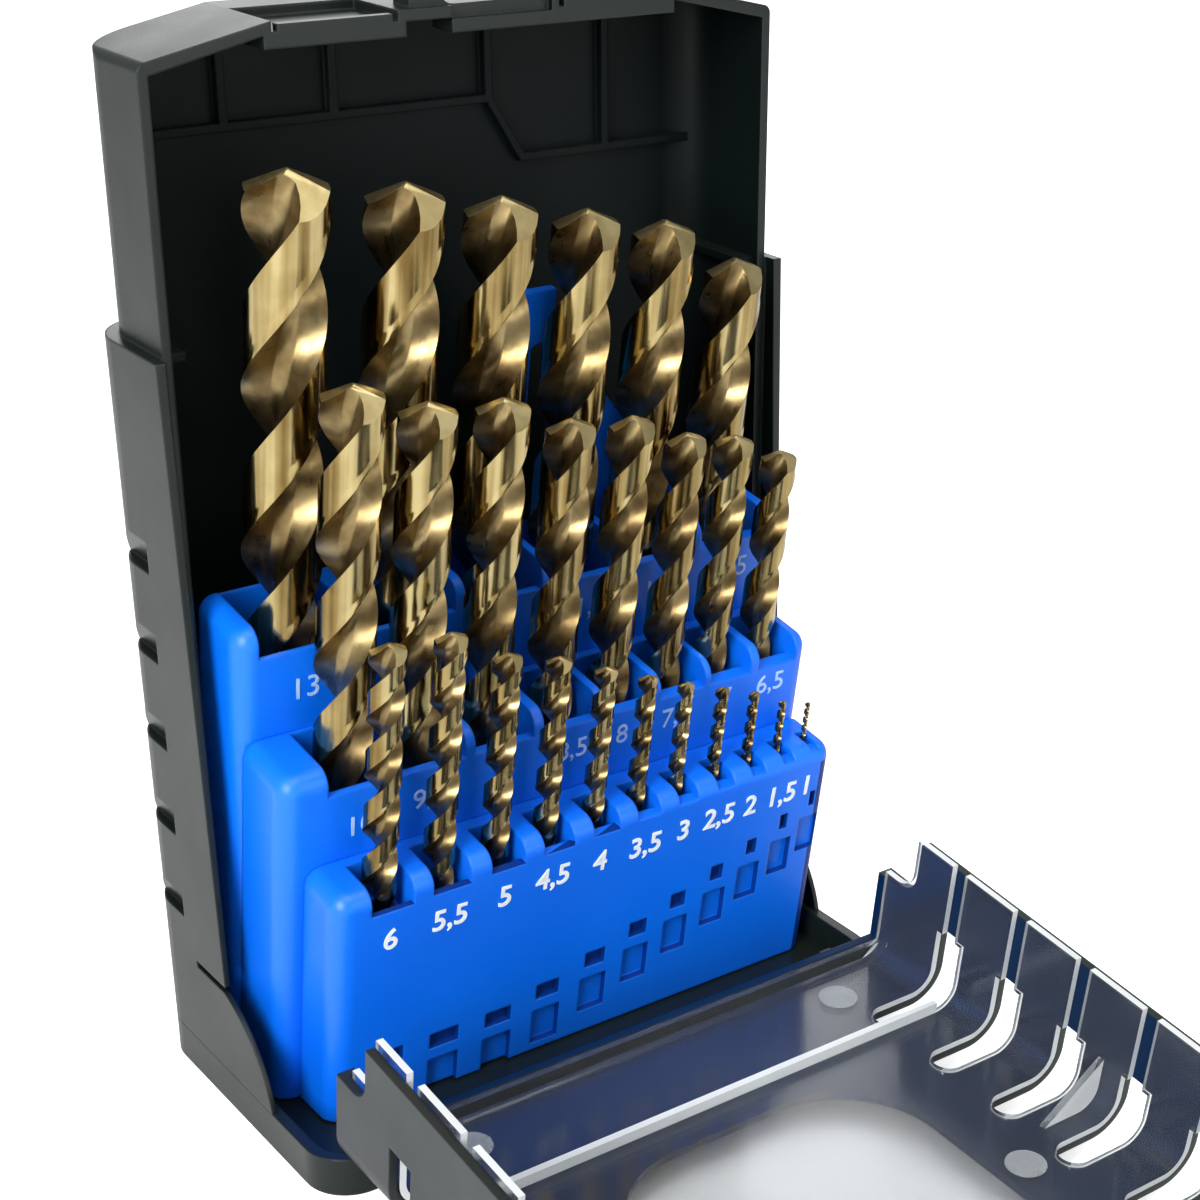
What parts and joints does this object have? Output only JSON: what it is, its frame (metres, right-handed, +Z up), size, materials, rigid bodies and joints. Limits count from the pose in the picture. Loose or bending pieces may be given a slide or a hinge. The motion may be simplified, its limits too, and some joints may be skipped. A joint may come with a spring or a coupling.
{
  "type": "drill bit case",
  "caption": "Drill bit case with a back shell on a foot tray, a fold-down front lid with a clear liner, and a stepped holder of twist drills that tips forward.",
  "frame": {"origin": "on the table, below the middle of the shell's front edge, on the foot's underside", "axes": "+X to the right seen from the front, +Y to the back, +Z up; the case stands open"},
  "size_m": [0.1192, 0.2424, 0.1862],
  "materials": {
    "case_plastic": "dark grey moulded plastic, satin",
    "lid_plastic": "dark grey moulded plastic, satin",
    "liner_clear": "clear smoke-tinted plastic, glossy",
    "holder_blue": "bright blue moulded plastic, satin",
    "drill_bronze": "bronze-tinted ground high speed steel",
    "pin_steel": "plain drawn steel"
  },
  "bodies": {
    "case": {"base_foot": "case_plastic", "back_shell": "case_plastic", "hinge_pin_left": "pin_steel", "hinge_pin_right": "pin_steel"},
    "lid": {"lid_frame": "lid_plastic", "lid_window": "liner_clear", "latch_left": "lid_plastic", "latch_right": "lid_plastic"},
    "holder": {"holder_back_tier": "holder_blue", "holder_middle_tier": "holder_blue", "holder_front_tier": "holder_blue", "holder_pin_left": "pin_steel", "holder_pin_right": "pin_steel"},
    "drill_13_0": {"drill_13_0": "drill_bronze"},
    "drill_12_5": {"drill_12_5": "drill_bronze"},
    "drill_12_0": {"drill_12_0": "drill_bronze"},
    "drill_11_5": {"drill_11_5": "drill_bronze"},
    "drill_11_0": {"drill_11_0": "drill_bronze"},
    "drill_10_5": {"drill_10_5": "drill_bronze"},
    "drill_10_0": {"drill_10_0": "drill_bronze"},
    "drill_9_5": {"drill_9_5": "drill_bronze"},
    "drill_9_0": {"drill_9_0": "drill_bronze"},
    "drill_8_5": {"drill_8_5": "drill_bronze"},
    "drill_8_0": {"drill_8_0": "drill_bronze"},
    "drill_7_5": {"drill_7_5": "drill_bronze"},
    "drill_7_0": {"drill_7_0": "drill_bronze"},
    "drill_6_5": {"drill_6_5": "drill_bronze"},
    "drill_6_0": {"drill_6_0": "drill_bronze"},
    "drill_5_5": {"drill_5_5": "drill_bronze"},
    "drill_5_0": {"drill_5_0": "drill_bronze"},
    "drill_4_5": {"drill_4_5": "drill_bronze"},
    "drill_4_0": {"drill_4_0": "drill_bronze"},
    "drill_3_5": {"drill_3_5": "drill_bronze"},
    "drill_3_0": {"drill_3_0": "drill_bronze"},
    "drill_2_5": {"drill_2_5": "drill_bronze"},
    "drill_2_0": {"drill_2_0": "drill_bronze"},
    "drill_1_5": {"drill_1_5": "drill_bronze"},
    "drill_1_0": {"drill_1_0": "drill_bronze"}
  },
  "joints": [
    {"name": "lid_hinge", "type": "hinge", "parent": "case", "child": "lid", "pos_m": [0, -0.0352, 0.0035], "axis": [1, 0, 0], "range_deg": [-96.7, 0]},
    {"name": "holder_tilt", "type": "hinge", "parent": "case", "child": "holder", "pos_m": [0, 0.005, 0.005], "axis": [1, 0, 0], "range_deg": [-9.16, 0]},
    {"name": "drill_13_0_lift", "type": "slide", "parent": "holder", "child": "drill_13_0", "axis": [0, -0.1592, 0.9872], "range_m": [0, 0.0846]},
    {"name": "drill_12_5_lift", "type": "slide", "parent": "holder", "child": "drill_12_5", "axis": [0, -0.1592, 0.9872], "range_m": [0, 0.0891]},
    {"name": "drill_12_0_lift", "type": "slide", "parent": "holder", "child": "drill_12_0", "axis": [0, -0.1592, 0.9872], "range_m": [0, 0.0935]},
    {"name": "drill_11_5_lift", "type": "slide", "parent": "holder", "child": "drill_11_5", "axis": [0, -0.1592, 0.9872], "range_m": [0, 0.0887]},
    {"name": "drill_11_0_lift", "type": "slide", "parent": "holder", "child": "drill_11_0", "axis": [0, -0.1592, 0.9872], "range_m": [0, 0.0927]},
    {"name": "drill_10_5_lift", "type": "slide", "parent": "holder", "child": "drill_10_5", "axis": [0, -0.1592, 0.9872], "range_m": [0, 0.0927]},
    {"name": "drill_10_0_lift", "type": "slide", "parent": "holder", "child": "drill_10_0", "axis": [0, -0.1592, 0.9872], "range_m": [0, 0.0725]},
    {"name": "drill_9_5_lift", "type": "slide", "parent": "holder", "child": "drill_9_5", "axis": [0, -0.1592, 0.9872], "range_m": [0, 0.0723]},
    {"name": "drill_9_0_lift", "type": "slide", "parent": "holder", "child": "drill_9_0", "axis": [0, -0.1592, 0.9872], "range_m": [0, 0.0725]},
    {"name": "drill_8_5_lift", "type": "slide", "parent": "holder", "child": "drill_8_5", "axis": [0, -0.1592, 0.9872], "range_m": [0, 0.0723]},
    {"name": "drill_8_0_lift", "type": "slide", "parent": "holder", "child": "drill_8_0", "axis": [0, -0.1592, 0.9872], "range_m": [0, 0.0725]},
    {"name": "drill_7_5_lift", "type": "slide", "parent": "holder", "child": "drill_7_5", "axis": [0, -0.1592, 0.9872], "range_m": [0, 0.0715]},
    {"name": "drill_7_0_lift", "type": "slide", "parent": "holder", "child": "drill_7_0", "axis": [0, -0.1592, 0.9872], "range_m": [0, 0.0725]},
    {"name": "drill_6_5_lift", "type": "slide", "parent": "holder", "child": "drill_6_5", "axis": [0, -0.1592, 0.9872], "range_m": [0, 0.0712]},
    {"name": "drill_6_0_lift", "type": "slide", "parent": "holder", "child": "drill_6_0", "axis": [0, -0.1592, 0.9872], "range_m": [0, 0.0531]},
    {"name": "drill_5_5_lift", "type": "slide", "parent": "holder", "child": "drill_5_5", "axis": [0, -0.1592, 0.9872], "range_m": [0, 0.0531]},
    {"name": "drill_5_0_lift", "type": "slide", "parent": "holder", "child": "drill_5_0", "axis": [0, -0.1592, 0.9872], "range_m": [0, 0.0531]},
    {"name": "drill_4_5_lift", "type": "slide", "parent": "holder", "child": "drill_4_5", "axis": [0, -0.1592, 0.9872], "range_m": [0, 0.0531]},
    {"name": "drill_4_0_lift", "type": "slide", "parent": "holder", "child": "drill_4_0", "axis": [0, -0.1592, 0.9872], "range_m": [0, 0.0531]},
    {"name": "drill_3_5_lift", "type": "slide", "parent": "holder", "child": "drill_3_5", "axis": [0, -0.1592, 0.9872], "range_m": [0, 0.0522]},
    {"name": "drill_3_0_lift", "type": "slide", "parent": "holder", "child": "drill_3_0", "axis": [0, -0.1592, 0.9872], "range_m": [0, 0.047]},
    {"name": "drill_2_5_lift", "type": "slide", "parent": "holder", "child": "drill_2_5", "axis": [0, -0.1592, 0.9872], "range_m": [0, 0.0464]},
    {"name": "drill_2_0_lift", "type": "slide", "parent": "holder", "child": "drill_2_0", "axis": [0, -0.1592, 0.9872], "range_m": [0, 0.0415]},
    {"name": "drill_1_5_lift", "type": "slide", "parent": "holder", "child": "drill_1_5", "axis": [0, -0.1592, 0.9872], "range_m": [0, 0.0365]},
    {"name": "drill_1_0_lift", "type": "slide", "parent": "holder", "child": "drill_1_0", "axis": [0, -0.1592, 0.9872], "range_m": [0, 0.0326]}
  ],
  "couplings": [
    {"joint": "holder_tilt", "follows": "lid_hinge", "ratio": 0.094726}
  ]
}
